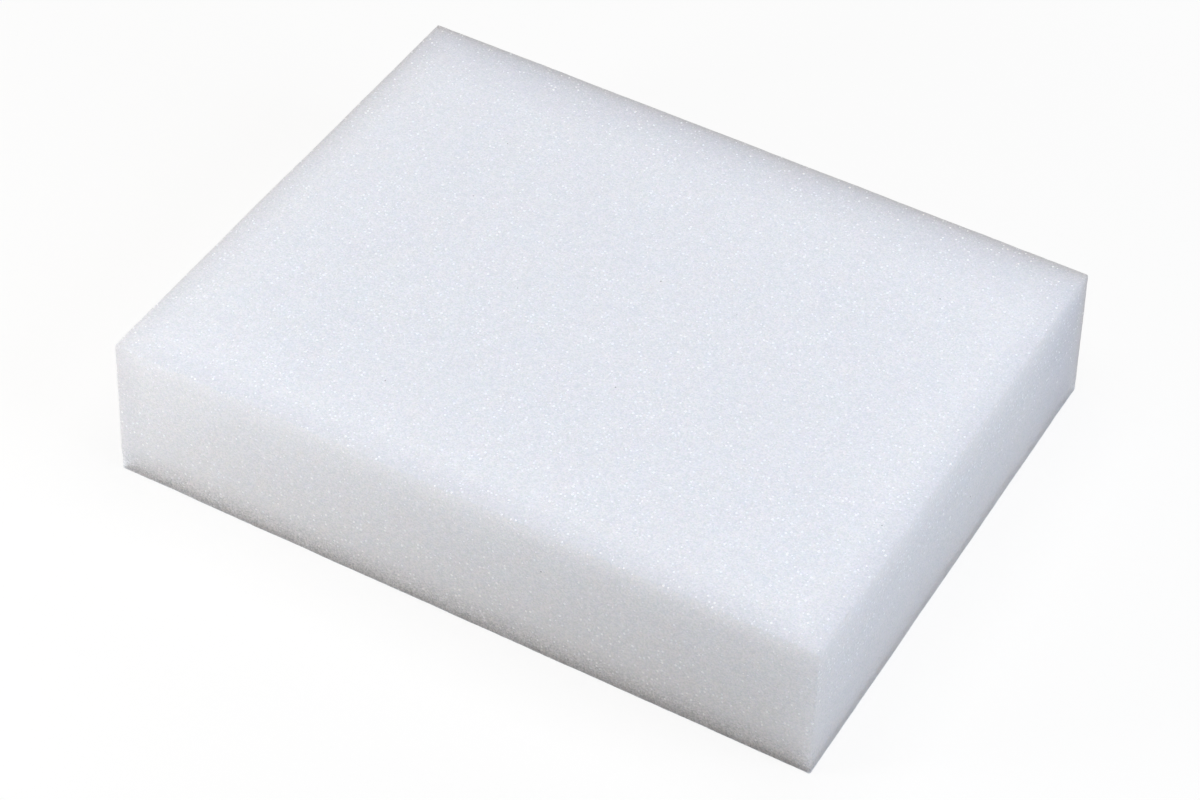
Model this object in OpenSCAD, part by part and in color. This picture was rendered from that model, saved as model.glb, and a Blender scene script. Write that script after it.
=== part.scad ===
// Grout sponge: one plain block of white melamine foam, sawn square on all six sides.
// Units are millimetres. The origin is the middle of the underside, +X runs along the
// length, +Y across the width and +Z up through the thickness.

/* [Block] */
// Length of the block, along X
block_length = 115; // [60:1:200]
// Width of the block, along Y
block_width = 89; // [40:1:150]
// Thickness of the block, along Z
block_thickness = 25; // [10:1:60]

/* [Edges] */
// Radius that the soft foam takes where two sawn faces meet
edge_radius = 0.8; // [0.2:0.1:3]

/* [Hidden] */
// Facets in a full circle of each eased edge
edge_facets = 48;
// Colour of clean melamine foam
foam_white = [0.93, 0.94, 0.97];

// Rectangle centred on the origin, its four corners rounded to edge_radius
module eased_rectangle(along, across) {
    square([along - 2 * edge_radius, across], center = true);
    square([along, across - 2 * edge_radius], center = true);
    for (x = [-1, 1], y = [-1, 1])
        translate([x * (along / 2 - edge_radius), y * (across / 2 - edge_radius)])
            circle(r = edge_radius, $fn = edge_facets);
}

// Bar centred on the origin and running along Z, its four long edges eased
module eased_bar(along, across, height) {
    linear_extrude(height = height, center = true)
        eased_rectangle(along, across);
}

// The block is what three bars share, one sawn along each axis, so that all twelve edges
// and eight corners are eased and all six faces stay flat
module foam_block() {
    color(foam_white)
        translate([0, 0, block_thickness / 2])
            intersection() {
                eased_bar(block_length, block_width, block_thickness);
                rotate([90, 0, 0])
                    eased_bar(block_length, block_thickness, block_width);
                rotate([90, 0, 90])
                    eased_bar(block_width, block_thickness, block_length);
            }
}

foam_block();
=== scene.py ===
"""Dresses the plain foam block as white melamine foam: eased sawn edges, open cells, and painted
glints and edge shade.
"""

import math

import bpy
import numpy as np
from mathutils import Matrix, Vector


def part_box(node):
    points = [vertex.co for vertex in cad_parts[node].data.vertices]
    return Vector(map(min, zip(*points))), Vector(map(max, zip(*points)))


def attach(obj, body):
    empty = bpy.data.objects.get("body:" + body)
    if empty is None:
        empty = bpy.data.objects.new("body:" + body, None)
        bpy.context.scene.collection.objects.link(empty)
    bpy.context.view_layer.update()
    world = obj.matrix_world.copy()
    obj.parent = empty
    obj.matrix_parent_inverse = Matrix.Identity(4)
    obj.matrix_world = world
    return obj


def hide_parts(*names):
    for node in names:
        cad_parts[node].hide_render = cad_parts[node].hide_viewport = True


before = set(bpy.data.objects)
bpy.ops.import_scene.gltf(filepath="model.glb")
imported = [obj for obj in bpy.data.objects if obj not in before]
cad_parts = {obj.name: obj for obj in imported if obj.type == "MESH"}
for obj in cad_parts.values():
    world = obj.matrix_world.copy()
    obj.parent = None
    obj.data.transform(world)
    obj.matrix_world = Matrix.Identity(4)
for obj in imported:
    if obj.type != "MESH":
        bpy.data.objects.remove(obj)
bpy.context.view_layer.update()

MM = 0.001

# The block, as the frame holds it
block_low, block_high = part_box("foam_block")
block_size = block_high - block_low
block_middle = (block_low + block_high) / 2

# Shape of the sawn block
edge_radius = 0.35 * MM
points_along = (190, 150, 56)
edge_crowding = 0.7
top_inset = Vector((0.6, 0.5, 0)) * MM
thin_end_drop = 1.2 * MM
saw_wave_pitch = 14 * MM
saw_wave_depth = 0.25 * MM
saw_wave_detail = 1.0
pore_pitch = 1.6 * MM
pore_depth = 0.12 * MM
pore_detail = 2.0
unsunk_share = 0.35
shape_seed = 7

# The foam itself, and how deep its red, green and blue light goes
foam_colour = (0.85, 0.86, 0.88)
foam_roughness = 0.95
film_gloss = 0.1
light_depth = 14 * MM
light_reach = (0.92, 1.0, 1.08)

# Its cells, its uneven patches and its specks
cell_width = 0.2 * MM
cell_contrast = 0.14
cell_tint = 0.04
cell_relief = 0.05 * MM
cell_relief_share = 0.6
mottle_pitch = 5 * MM
mottle_detail = 2.0
mottle_contrast = 0.07
speck_spacing = 7 * MM
speck_radius = 0.16 * MM
speck_shade = 0.5

# Its glints, painted highlights of whiter colour and a faint glow: the spacing and radius of the
# bright and the faint ones, and how they shine
bright_glint = (0.68 * MM, 0.22 * MM)
faint_glint = (0.4 * MM, 0.13 * MM)
faint_glint_share = 0.55
side_faint_share = 0.5
glint_core = 0.7
dull_glints = 0.25
glint_colour = (0.93, 0.96, 1.0)
glint_tint = 0.06
painted_glint_glow = 0.2
glint_lean = 0.4

# How far up a face looks where it starts to count as the top, and where it is wholly that
top_turn_start = 0.3
top_turn_end = 0.9

# Painted shade towards its edges: on the top, and on the sides beside the upright edges that the
# lamps miss. It dies out towards the lit corner, where X less Y is large
edge_shade_colour = (0.79, 0.80, 0.85)
edge_fade_width = 6 * MM
top_fade = 0.5
back_fade_start = 14 * MM
back_fade_end = 2 * MM
upright_fade = 0.7
short_side_spread = 4
lit_corner_start = 20 * MM
lit_corner_end = 90 * MM

# Painted shade on its eased edges. The three parts of a facing add up to 1 on a flat face,
# and to more on them
eased_start = 1.05
eased_end = 1.3
eased_painted_shade = 0.05

# Painted shade on the lower rims of its long sides, where their cells also show more contrast,
# and painted light on its foot all round
rim_height = 6 * MM
rim_start = 2 * MM
rim_end = 1 * MM
rim_painted_shade = 0.16
rim_contrast = 0.3
foot_height = 4 * MM
foot_painted_light = 0.16

# The flat sheet for the block's textures: each face laid out flat, at one scale
sheet_side = 196 * MM
sheet_gap = 1 * MM

# Camera, set by where it stands around the block
view_azimuth = 28.78
view_elevation = 43.93
view_roll = 1.555
view_distance = 492.6 * MM
view_aim = Vector((0.63, -3.43, 9.06)) * MM
lens_length = 99.58
sensor_width = 36
nearest_seen = 10 * MM
furthest_seen = 20.0

# Floor, seen white and lit pale
floor_reach = 3.0
floor_drop = 0.02 * MM
floor_tone = (0.44, 0.40, 0.355)
footprint_tone = (0.9, 0.9, 0.9)
footprint_fade = 4 * MM
paper_tone = (1.0, 0.98, 0.92)
shadow_share = 0.2
shadow_near = 100 * MM
shadow_far = 350 * MM

# The even light of the room, beside the four lamps
room_light = 0.2


class Wire:
    """A socket of a node tree. Maths on wires adds the nodes that work it out."""

    def __init__(self, tree, socket=None):
        self.tree = tree
        self.socket = socket

    def node(self, kind, settings=None, sockets=None, output=0):
        """Adds a node: its settings first, then the values or links of its sockets."""
        made = self.tree.nodes.new(kind)
        for name, value in (settings or {}).items():
            setattr(made, name, value)
        inlets = [s for s in made.inputs if s.enabled]
        for key, value in (sockets or {}).items():
            inlet = inlets[key] if isinstance(key, int) else self.named(inlets, key)
            if isinstance(value, Wire):
                self.tree.links.new(value.socket, inlet)
            else:
                inlet.default_value = value
        outlets = [s for s in made.outputs if s.enabled]
        if not outlets:
            return None
        found = outlets[output] if isinstance(output, int) else self.named(outlets, output)
        return Wire(self.tree, found)

    @staticmethod
    def named(sockets, name):
        """The socket of that name."""
        return next(s for s in sockets if s.name == name)

    def beside(self, name):
        """Another output of the same node."""
        return Wire(self.tree, self.named(self.socket.node.outputs, name))

    def work(self, operation, *values):
        """A Math node, or a Vector Math node where one of the values is a vector or colour."""
        kinds = [v.socket.type for v in values if isinstance(v, Wire)]
        if "VECTOR" in kinds or "RGBA" in kinds:
            whole = [v if isinstance(v, (Wire, Vector, tuple)) else (v, v, v) for v in values]
            return self.node("ShaderNodeVectorMath", {"operation": operation}, dict(enumerate(whole)))
        return self.node("ShaderNodeMath", {"operation": operation}, dict(enumerate(values)))

    def __add__(self, other):
        return self.work("ADD", self, other)

    def __sub__(self, other):
        return self.work("SUBTRACT", self, other)

    def __rsub__(self, other):
        return self.work("SUBTRACT", other, self)

    def __mul__(self, other):
        return self.work("MULTIPLY", self, other)

    def __truediv__(self, other):
        return self.work("DIVIDE", self, other)

    def __rtruediv__(self, other):
        return self.work("DIVIDE", other, self)

    def __abs__(self):
        return self.work("ABSOLUTE", self)

    __radd__ = __add__
    __rmul__ = __mul__

    def part(self, axis):
        """One of the three numbers of a vector or colour."""
        return self.node("ShaderNodeSeparateXYZ", sockets={0: self}, output=axis)

    def rise(self, start, end):
        """Goes smoothly from 0 to 1 as the value goes from start to end."""
        return self.node(
            "ShaderNodeMapRange",
            {"interpolation_type": "SMOOTHSTEP"},
            {"Value": self, "From Min": start, "From Max": end},
        )

    def mix(self, kind, share, first, second):
        """Two colours mixed."""
        return self.node(
            "ShaderNodeMix",
            {"data_type": "RGBA", "blend_type": kind},
            {"Factor": share, "A": first, "B": second},
        )


def hollows(board, place, seed, pitch, detail):
    """How deep uneven hollows are, a pitch apart: 0 where the face is left flat."""
    noise = board.node(
        "ShaderNodeTexNoise",
        {"noise_dimensions": "4D"},
        {"Vector": place, "W": seed, "Scale": 1 / pitch, "Detail": detail},
    )
    return board.work("MAXIMUM", noise - unsunk_share, 0)


def foam_shape_tree():
    """The block as a finely divided box, with its edges eased and its faces sunk into open pores."""
    tree = bpy.data.node_groups.new("foam_shape", "GeometryNodeTree")
    for name, kind in (
        ("Size", "NodeSocketVector"),
        ("Middle", "NodeSocketVector"),
        ("Points X", "NodeSocketInt"),
        ("Points Y", "NodeSocketInt"),
        ("Points Z", "NodeSocketInt"),
        ("Edge Crowding", "NodeSocketFloat"),
        ("Edge Radius", "NodeSocketFloat"),
        ("Top Inset", "NodeSocketVector"),
        ("Thin End Drop", "NodeSocketFloat"),
        ("Saw Wave Pitch", "NodeSocketFloat"),
        ("Saw Wave Depth", "NodeSocketFloat"),
        ("Pore Pitch", "NodeSocketFloat"),
        ("Pore Depth", "NodeSocketFloat"),
        ("Seed", "NodeSocketFloat"),
        ("Foam", "NodeSocketMaterial"),
    ):
        tree.interface.new_socket(name, in_out="INPUT", socket_type=kind)
    tree.interface.new_socket("Geometry", in_out="OUTPUT", socket_type="NodeSocketGeometry")
    given = {s.name: Wire(tree, s) for s in tree.nodes.new("NodeGroupInput").outputs if s.name}
    board = Wire(tree)

    # An even box, its points drawn towards the edges
    box = board.node(
        "GeometryNodeMeshCube",
        sockets={
            "Size": given["Size"],
            "Vertices X": given["Points X"],
            "Vertices Y": given["Points Y"],
            "Vertices Z": given["Points Z"],
        },
    )
    half = given["Size"] * 0.5
    share = board.node("GeometryNodeInputPosition") / half
    bunched = board.work("SINE", share * (math.pi / 2))
    drawn = share * (1 - given["Edge Crowding"]) + bunched * given["Edge Crowding"]
    flat = drawn * half

    # Edges and corners eased to one radius
    core = half - given["Edge Radius"]
    inner = board.work("MINIMUM", board.work("MAXIMUM", flat, core * -1), core)
    outward = board.work("NORMALIZE", flat - inner)
    eased = inner + outward * given["Edge Radius"]

    # The saw's waves and the pores, sunk below the flat so that nothing stands proud
    patch = eased + given["Middle"]
    waves = hollows(board, patch, given["Seed"], given["Saw Wave Pitch"], saw_wave_detail)
    pores = hollows(board, patch, given["Seed"], given["Pore Pitch"], pore_detail)
    sawn = eased - outward * (waves * given["Saw Wave Depth"] + pores * given["Pore Depth"])

    # The cut is a little out of square: drawn in towards the top, and thinner at one end
    up_share = sawn.part(2) / given["Size"].part(2) + 0.5
    end_share = sawn.part(0) / given["Size"].part(0) + 0.5
    drop = board.node(
        "ShaderNodeCombineXYZ",
        sockets={"Z": given["Thin End Drop"] * end_share * up_share},
    )
    leaning = sawn - sawn / half * given["Top Inset"] * up_share - drop

    shaped = board.node(
        "GeometryNodeSetPosition",
        sockets={"Geometry": box, "Position": leaning + given["Middle"]},
    )
    smooth = board.node("GeometryNodeSetShadeSmooth", sockets={0: shaped})
    whole = board.node("GeometryNodeRealizeInstances", sockets={0: smooth})
    finished = board.node(
        "GeometryNodeSetMaterial",
        sockets={"Geometry": whole, "Material": given["Foam"]},
    )
    board.node("NodeGroupOutput", sockets={"Geometry": finished})
    return tree


def make_foam_block(foam):
    """Runs the shape's node tree once and keeps the plain mesh that it gives."""
    tree = foam_shape_tree()
    maker = bpy.data.objects.new("foam_maker", bpy.data.meshes.new("foam_maker"))
    bpy.context.scene.collection.objects.link(maker)
    shape = maker.modifiers.new("shape", "NODES")
    shape.node_group = tree
    sizes = {
        "Size": block_size,
        "Middle": block_middle,
        "Points X": points_along[0],
        "Points Y": points_along[1],
        "Points Z": points_along[2],
        "Edge Crowding": edge_crowding,
        "Edge Radius": edge_radius,
        "Top Inset": top_inset,
        "Thin End Drop": thin_end_drop,
        "Saw Wave Pitch": saw_wave_pitch,
        "Saw Wave Depth": saw_wave_depth,
        "Pore Pitch": pore_pitch,
        "Pore Depth": pore_depth,
        "Seed": shape_seed,
        "Foam": foam,
    }
    for item in tree.interface.items_tree:
        if item.in_out == "INPUT":
            shape[item.identifier] = sizes[item.name]
    evaluated = maker.evaluated_get(bpy.context.evaluated_depsgraph_get())
    mesh = bpy.data.meshes.new_from_object(evaluated)
    mesh.name = "foam"
    bpy.data.objects.remove(maker)
    block = bpy.data.objects.new("foam", mesh)
    bpy.context.scene.collection.objects.link(block)
    return block


def lay_out_faces(mesh):
    """Lays each of the six faces flat on one square sheet, all at the same scale."""
    loops = len(mesh.loops)
    points = np.empty(len(mesh.vertices) * 3)
    mesh.vertices.foreach_get("co", points)
    corners = np.empty(loops, dtype=np.int64)
    mesh.loops.foreach_get("vertex_index", corners)
    place = points.reshape(-1, 3)[corners] - np.array(block_low)

    facing = np.empty(len(mesh.polygons) * 3)
    mesh.polygons.foreach_get("normal", facing)
    facing = facing.reshape(-1, 3)
    sides = np.empty(len(mesh.polygons), dtype=np.int64)
    mesh.polygons.foreach_get("loop_total", sides)
    faced = np.abs(facing).argmax(axis=1)
    axis = np.repeat(faced, sides)
    upper = np.repeat(facing[np.arange(len(facing)), faced] > 0, sides)

    length, width, height = block_size
    second_row = sheet_gap * 1.5 + width
    column = np.cumsum([sheet_gap / 2, length + sheet_gap, height + sheet_gap, height + sheet_gap])
    # For each axis: the columns of its lower and upper face, their rows, and the way each is turned
    plan = {
        2: ((column[0], column[0]), (second_row, sheet_gap / 2), (0, 1)),
        0: ((column[1], column[1]), (second_row, sheet_gap / 2), (2, 1)),
        1: ((column[2], column[3]), (sheet_gap / 2, sheet_gap / 2), (2, 0)),
    }
    sheet = np.empty((loops, 2))
    for which, (across, along, turned) in plan.items():
        for is_upper in (False, True):
            chosen = (axis == which) & (upper == is_upper)
            sheet[chosen] = place[chosen][:, turned] + (across[is_upper], along[is_upper])
    layout = mesh.uv_layers.new(name="OFBake")
    layout.data.foreach_set("uv", (sheet / sheet_side).ravel())


def glints(board, place, spacing, radius):
    """Small round spots about the spacing apart, for painted glints: how bright each is, and its
    random colour.
    """
    distance = board.node(
        "ShaderNodeTexVoronoi",
        sockets={"Vector": place, "Scale": 1 / spacing},
        output="Distance",
    )
    luck = distance.beside("Color")
    reach = (luck.part(1) + 1) * (radius / spacing / 2)
    spot = 1 - (distance / reach).rise(glint_core, 1.0)
    return spot * luck.part(0).rise(dull_glints, 1.0), luck


def painted_edge_shade(board, place, beyond, upward):
    """How far painted shade darkens the foam to its edge colour: round the top, and beside the unlit
    upright edges.
    """
    past_side = board.work("MAXIMUM", beyond.part(0), beyond.part(1))
    back = (place.part(1) - block_high.y).rise(-back_fade_start, -back_fade_end)
    on_top = (past_side.rise(-edge_fade_width, 0) + back) * top_fade
    past_upright = board.work("MINIMUM", beyond.part(0), beyond.part(1) / short_side_spread)
    unlit = 1 - (place.part(0) - place.part(1)).rise(lit_corner_start, lit_corner_end)
    on_sides = past_upright.rise(-edge_fade_width, 0) * unlit * upright_fade
    return on_top * upward + on_sides * (1 - upward)


def foam_material():
    """White melamine foam: light goes deep, its cell walls glint as painted highlights, and painted
    shade darkens it at its edges.
    """
    material = bpy.data.materials.new("white_foam")
    material.use_nodes = True
    tree = material.node_tree
    tree.nodes.clear()
    board = Wire(tree)
    place = board.node("ShaderNodeTexCoord", output="Object")

    # Fine open cells, each a little lighter or darker than the next, in patches that drift too
    cells = board.node(
        "ShaderNodeTexVoronoi",
        sockets={"Vector": place, "Scale": 1 / cell_width},
        output="Distance",
    )
    lot = cells.beside("Color") - 0.5
    drift = board.node(
        "ShaderNodeTexNoise",
        sockets={"Vector": place, "Scale": 1 / mottle_pitch, "Detail": mottle_detail},
        output="Color",
    )

    # Rare dark specks
    grit = board.node(
        "ShaderNodeTexVoronoi",
        sockets={"Vector": place, "Scale": 1 / speck_spacing},
        output="Distance",
    )
    speck = 1 - grit.rise(speck_radius / speck_spacing / 2, speck_radius / speck_spacing)

    # Where the painted shade and painted light go: the edges, the long sides' lower rims and the foot.
    # Beyond is how far past each side a point lies, and is below 0 within the block
    beyond = abs(place) - block_size / 2
    facing = place.beside("Normal")
    upward = facing.part(2).rise(top_turn_start, top_turn_end)
    eased = board.work("DOT_PRODUCT", abs(facing), (1, 1, 1)).rise(eased_start, eased_end)
    rim = beyond.part(1).rise(-rim_start, -rim_end) * (1 - place.part(2).rise(0, rim_height))
    foot = 1 - place.part(2).rise(0, foot_height)

    # The foam's colour without its glints, with painted shade at its edges and rims and painted light
    # at its foot
    edge_shade_share = painted_edge_shade(board, place, beyond, upward)
    clean = board.mix("MULTIPLY", edge_shade_share, (*foam_colour, 1), (*edge_shade_colour, 1))
    drifted = board.mix("OVERLAY", mottle_contrast, clean, drift)
    # Painted shade on the rims and eased edges, painted light on the foot, and the dark specks
    marks = rim * rim_painted_shade - foot * foot_painted_light + speck * speck_shade + eased * eased_painted_shade
    level = lot.part(0) * (rim * rim_contrast + cell_contrast) - marks + 1
    toned = drifted * (lot * cell_tint + level)

    # Painted glints, whiter and faintly glowing, where cell walls would face the light: a few are
    # bright, most are faint
    bright, bright_luck = glints(board, place, *bright_glint)
    faint, faint_luck = glints(board, place, *faint_glint)
    luck = board.mix("MIX", bright, faint_luck, bright_luck)
    tint = board.mix("MIX", glint_tint, (*glint_colour, 1), luck)
    faint_share = (upward * (1 - side_faint_share) + side_faint_share) * faint_glint_share
    painted_glint_share = board.work("MINIMUM", bright + faint * faint_share, 1.0)

    # Cells stand in relief, and a glint's wall leans its own way
    relief = board.node(
        "ShaderNodeBump",
        sockets={"Strength": cell_relief_share, "Distance": cell_relief, "Height": 1 - cells},
    )
    leaning = (luck - 0.5) * painted_glint_share * glint_lean
    surface = board.node(
        "ShaderNodeBsdfPrincipled",
        sockets={
            "Base Color": board.mix("MIX", painted_glint_share, toned, tint),
            "Roughness": foam_roughness,
            "Specular IOR Level": film_gloss,
            "Normal": board.work("NORMALIZE", relief + leaning),
            "Emission Color": tint * painted_glint_share,
            "Emission Strength": painted_glint_glow,
            "Subsurface Weight": 1.0,
            "Subsurface Radius": light_reach,
            "Subsurface Scale": light_depth,
        },
    )
    board.node("ShaderNodeOutputMaterial", sockets={"Surface": surface})
    return material


def make_camera():
    """A camera that looks down on the near corner."""
    azimuth = math.radians(view_azimuth)
    elevation = math.radians(view_elevation)
    back = Vector(
        (
            math.sin(azimuth) * math.cos(elevation),
            -math.cos(azimuth) * math.cos(elevation),
            math.sin(elevation),
        )
    )
    lens = bpy.data.cameras.new("camera")
    lens.lens = lens_length
    lens.sensor_width = sensor_width
    lens.clip_start = nearest_seen
    lens.clip_end = furthest_seen
    camera = bpy.data.objects.new("camera", lens)
    bpy.context.scene.collection.objects.link(camera)
    level = back.to_track_quat("Z", "Y").to_matrix().to_4x4()
    turned = level @ Matrix.Rotation(math.radians(view_roll), 4, "Z")
    camera.matrix_world = Matrix.Translation(view_aim + back * view_distance) @ turned
    bpy.context.scene.camera = camera


def seen_directly(board):
    """1 for what the camera sees, straight or in gloss or glass, and 0 for the light that lands."""
    path = board.node("ShaderNodeLightPath", output="Is Camera Ray")
    clear = board.work("MAXIMUM", path.beside("Is Glossy Ray"), path.beside("Is Transmission Ray"))
    return board.work("MAXIMUM", path, clear)


def floor_material():
    """Seen as white paper with a faint shadow. It throws back pale light, and more under the block."""
    material = bpy.data.materials.new("pale_floor")
    material.use_nodes = True
    tree = material.node_tree
    tree.nodes.clear()
    board = Wire(tree)
    place = board.node("ShaderNodeTexCoord", output="Object")

    # What is seen: paper near the block that takes its shadow, and plain white further off
    near = 1 - board.work("LENGTH", place).rise(shadow_near, shadow_far)
    white = board.node("ShaderNodeEmission", sockets={"Color": (1, 1, 1, 1), "Strength": 1.0})
    paper = board.node("ShaderNodeBsdfDiffuse", sockets={"Color": (*paper_tone, 1)})
    seen = board.node("ShaderNodeMixShader", sockets={0: 1 - near * shadow_share, 1: paper, 2: white})

    # What light meets
    beyond = abs(place) - block_size / 2
    outside = board.work("MAXIMUM", beyond.part(0), beyond.part(1)).rise(0, footprint_fade)
    tone = board.mix("MIX", outside, (*footprint_tone, 1), (*floor_tone, 1))
    pale = board.node("ShaderNodeBsdfDiffuse", sockets={"Color": tone})
    surface = board.node("ShaderNodeMixShader", sockets={0: seen_directly(board), 1: pale, 2: seen})
    board.node("ShaderNodeOutputMaterial", sockets={"Surface": surface})
    return material


def make_floor():
    """One wide flat sheet, just under the block."""
    r = floor_reach
    z = -floor_drop
    sheet = bpy.data.meshes.new("floor")
    sheet.from_pydata([(-r, -r, z), (r, -r, z), (r, r, z), (-r, r, z)], [], [(0, 1, 2, 3)])
    sheet.materials.append(floor_material())
    floor = bpy.data.objects.new("floor", sheet)
    bpy.context.scene.collection.objects.link(floor)


def make_light(name, place, size, power, colour):
    """A square lamp that faces the block."""
    lamp = bpy.data.lights.new(name, "AREA")
    lamp.shape = "SQUARE"
    lamp.size = size
    lamp.energy = power
    lamp.color = colour
    light = bpy.data.objects.new(name, lamp)
    bpy.context.scene.collection.objects.link(light)
    light.location = place
    light.rotation_mode = "QUATERNION"
    light.rotation_quaternion = (Vector(place) - block_middle).to_track_quat("Z", "Y")
    light.visible_camera = False


def make_world():
    """White where it is seen, and a weak even light on everything."""
    world = bpy.data.worlds.new("studio")
    bpy.context.scene.world = world
    world.use_nodes = True
    tree = world.node_tree
    tree.nodes.clear()
    board = Wire(tree)
    ambient = board.node(
        "ShaderNodeBackground",
        sockets={"Color": (1, 1, 1, 1), "Strength": room_light},
    )
    white = board.node("ShaderNodeBackground", sockets={"Color": (1, 1, 1, 1), "Strength": 1.0})
    shown = board.node("ShaderNodeMixShader", sockets={0: seen_directly(board), 1: ambient, 2: white})
    board.node("ShaderNodeOutputWorld", sockets={"Surface": shown})


# The dressed block, which stands in for the frame's plain one
block = make_foam_block(foam_material())
lay_out_faces(block.data)
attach(block, "root")
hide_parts("foam_block")

# The studio. Each lamp has its place, its size across, its watts and its colour
make_floor()
make_world()
make_light("overhead", (0, 0, 0.8), 0.8, 3.97, (0.955, 0.952, 1.0))
make_light("right", (0.6, 0, 0.35), 0.4, 1.98, (0.735, 0.83, 1.0))
make_light("left_front", (-0.2, -0.22, 0.07), 0.1, 0.385, (0.935, 0.955, 1.0))
make_light("back", (0, 0.6, 0.3), 0.4, 0.38, (0.95, 0.97, 1.0))
make_camera()
bpy.context.scene.view_settings.view_transform = "Standard"
